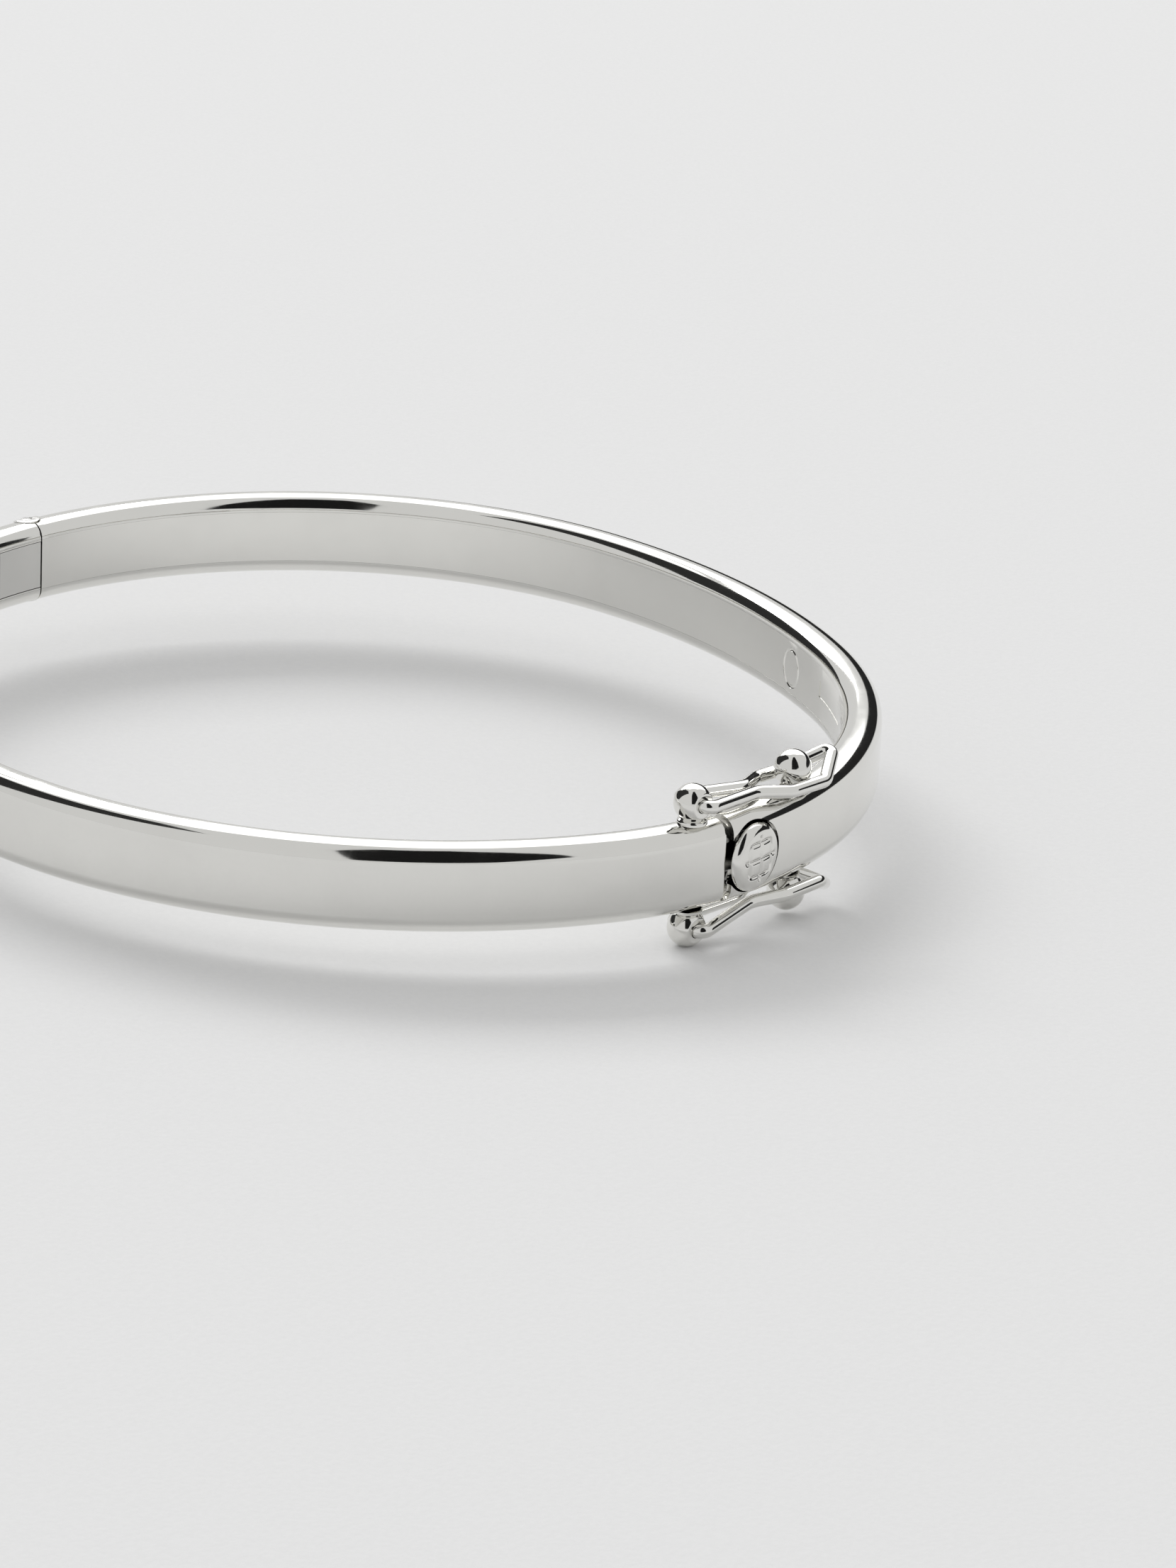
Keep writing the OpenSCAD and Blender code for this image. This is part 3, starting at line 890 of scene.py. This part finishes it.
def inner_silver(finish):
    # Lighter tint: painted highlight on the inner face; its extra roughness and wear are the liner's
    # own.
    tint = tuple(finish.inner)
    return silver("inner_finish", tint, finish.polish + 0.06, wear=0.16, ripple=0.006 * MM)


def clasp_silver(finish):
    tint = tuple(finish.clasp)
    return silver("clasp_finish", tint, finish.polish + 0.08, wear=0.18, ripple=0.003 * MM)


def wire_silver(finish):
    tint = tuple(finish.silver)
    return silver("wire_finish", tint, finish.polish, wear=0.08, ripple=0.002 * MM)


def paper(finish):
    """Dull paper with faint fibres."""
    material = bpy.data.materials.new("paper")
    look = Finish(material)
    fibres = look.noise(0.35 * MM, 4)
    darker = tuple(0.985 * c for c in finish.paper)
    base = look.mix(look.ramp(fibres, 0.3, 0.7), tuple(finish.paper), darker)
    normal = look.bump(fibres, 0.02 * MM)
    shader = look.node(
        "ShaderNodeBsdfPrincipled", Base_Color=base, Roughness=0.9, Specular_IOR_Level=0.1, Normal=normal
    )
    look.output(shader)
    return material


# ---------------------------------------------------------------- stage


def camera_axes(stage):
    """Right, up and back of the camera."""
    a, e, r = stage.azimuth, stage.elevation, stage.roll
    back = Vector((sin(a) * cos(e), -cos(a) * cos(e), sin(e)))
    right = Vector((cos(a), sin(a), 0))
    up = back.cross(right)
    return right * cos(r) + up * sin(r), up * cos(r) - right * sin(r), back


def direction(stage, turn, level):
    """Direction from the bangle; turn runs from the camera's direction towards the camera's right."""
    azimuth = stage.azimuth + turn
    return Vector((sin(azimuth) * cos(level), -cos(azimuth) * cos(level), sin(level)))


# Cards round the stage that only reflections see: name, brightness, corners as turn and level in degrees
CARDS = (
    (
        "card_front", 0.012,
        ((-7, 10), (20, 10), (30, 16), (36, 18), (38, 60), (60, 84), (-20, 84), (-16, 60)),
    ),
    (
        "card_right", 0.02,
        ((88, 1), (88, 14), (98, 22), (130, 15), (152, 15), (178, 17), (182, 1)),
    ),
    (
        "card_left", 0.03,
        (
            (-150, 1), (-138, 20), (-130, 44), (-100, 66), (-60, 62),
            (-72, 52), (-84, 34), (-94, 8), (-116, 1),
        ),
    ),
    (
        "card_back", 1.7,
        ((135, 20), (184, 20), (184, 42), (228, 44), (228, 68), (135, 66)),
    ),
)


def card(stage, name, shade, corners):
    """Card that is seen in the metal but not by the camera, and that takes no light off the floor."""
    bm = bmesh.new()
    towards = [direction(stage, radians(turn), radians(level)) for turn, level in corners]
    verts = [bm.verts.new(stage.card_reach * way) for way in towards]
    bmesh.ops.triangulate(bm, faces=[bm.faces.new(verts)])
    sheet = to_object(bm, name)
    material = bpy.data.materials.new(name)
    look = Finish(material)
    look.output(look.node("ShaderNodeEmission", Color=(1, 1, 1, 1), Strength=shade))
    sheet.data.materials.append(material)
    for ray in ("camera", "diffuse", "shadow", "transmission", "volume_scatter"):
        setattr(sheet, "visible_" + ray, False)


def floor_frame(stage):
    """Frame of the floor: it passes under the lower pivot ball and slopes both ways."""
    low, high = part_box("bottom_pivot_ball")
    foot = Vector(((low.x + high.x) / 2, (low.y + high.y) / 2, low.z))
    slope = Matrix.Rotation(-stage.floor_along, 4, "Y") @ Matrix.Rotation(stage.floor_across, 4, "X")
    return Matrix.Translation(foot) @ slope


def lay_floor(stage, finish):
    """Sheet of paper that reaches three metres each way."""
    bm = bmesh.new()
    bmesh.ops.create_grid(bm, x_segments=8, y_segments=8, size=3, matrix=floor_frame(stage))
    floor = to_object(bm, "paper_floor")
    floor.data.materials.append(paper(finish))


def light_room(scene, stage):
    """Even light from all round."""
    world = bpy.data.worlds.new("room")
    scene.world = world
    room = Finish(world)
    glow = room.node("ShaderNodeBackground", Color=(1, 1, 0.995, 1), Strength=stage.fill)
    room.output(glow, "ShaderNodeOutputWorld")


def light_key(scene, stage):
    """Large lamp behind the bangle."""
    towards = direction(stage, pi + stage.key_azimuth, stage.key_elevation)
    width = 2 * stage.key_reach * tan(stage.key_wide / 2)
    height = 2 * stage.key_reach * tan(stage.key_high / 2)
    light = bpy.data.lights.new("key", "AREA")
    light.shape = "RECTANGLE"
    light.size = width
    light.size_y = height
    light.energy = stage.key_power * pi * width * height
    key = bpy.data.objects.new("key", light)
    aim = towards.to_track_quat("Z", "Y").to_matrix().to_4x4()
    key.matrix_world = Matrix.Translation(towards * stage.key_reach) @ aim
    scene.collection.objects.link(key)


def set_camera(scene, stage):
    lens = bpy.data.cameras.new("camera")
    lens.lens = stage.lens
    lens.clip_start = 0.01
    lens.clip_end = 10
    right, up, back = camera_axes(stage)
    camera = bpy.data.objects.new("camera", lens)
    spot = right * stage.shift_right + up * stage.shift_up + back * stage.distance
    camera.matrix_world = Matrix((
        (right.x, up.x, back.x, spot.x),
        (right.y, up.y, back.y, spot.y),
        (right.z, up.z, back.z, spot.z),
        (0, 0, 0, 1),
    ))
    scene.collection.objects.link(camera)
    scene.camera = camera


class BANGLE_OT_stage(bpy.types.Operator):
    """Paper floor, lights, cards and camera"""

    bl_idname = "bangle.stage"
    bl_label = "Stage"

    def execute(self, context):
        _, _, finish, stage = settings(context)
        scene = context.scene
        scene.view_settings.view_transform = "Standard"
        lay_floor(stage, finish)
        light_room(scene, stage)
        light_key(scene, stage)
        for name, shade, corners in CARDS:
            card(stage, name, shade, corners)
        set_camera(scene, stage)
        return {"FINISHED"}


# ---------------------------------------------------------------- add-on


class BANGLE_PT_panel(bpy.types.Panel):
    """Buttons that build the bangle, and its settings"""

    bl_idname = "BANGLE_PT_panel"
    bl_label = "Bangle Bracelet"
    bl_space_type = "VIEW_3D"
    bl_region_type = "UI"
    bl_category = "Bangle"

    def draw(self, context):
        for operator in OPERATORS:
            self.layout.operator(operator.bl_idname)
        for group in settings(context):
            box = self.layout.box()
            for key in group.bl_rna.properties.keys():
                if key not in ("rna_type", "name"):
                    box.prop(group, key)


GROUPS = {
    "bangle_band": BangleBandSettings,
    "bangle_clasp": BangleClaspSettings,
    "bangle_finish": BangleFinishSettings,
    "bangle_stage": BangleStageSettings,
}
OPERATORS = (
    BANGLE_OT_stage,
    BANGLE_OT_band,
    BANGLE_OT_hinge,
    BANGLE_OT_tongue,
    BANGLE_OT_button,
    BANGLE_OT_balls,
    BANGLE_OT_catches,
)
CLASSES = (*GROUPS.values(), *OPERATORS, BANGLE_PT_panel)


def register():
    for cls in CLASSES:
        bpy.utils.register_class(cls)
    for key, group in GROUPS.items():
        setattr(bpy.types.Scene, key, bpy.props.PointerProperty(type=group))


def unregister():
    for key in GROUPS:
        delattr(bpy.types.Scene, key)
    for cls in reversed(CLASSES):
        bpy.utils.unregister_class(cls)


def main():
    register()
    for operator in OPERATORS:
        family, action = operator.bl_idname.split(".")
        getattr(getattr(bpy.ops, family), action)()


if __name__ == "__main__":
    main()
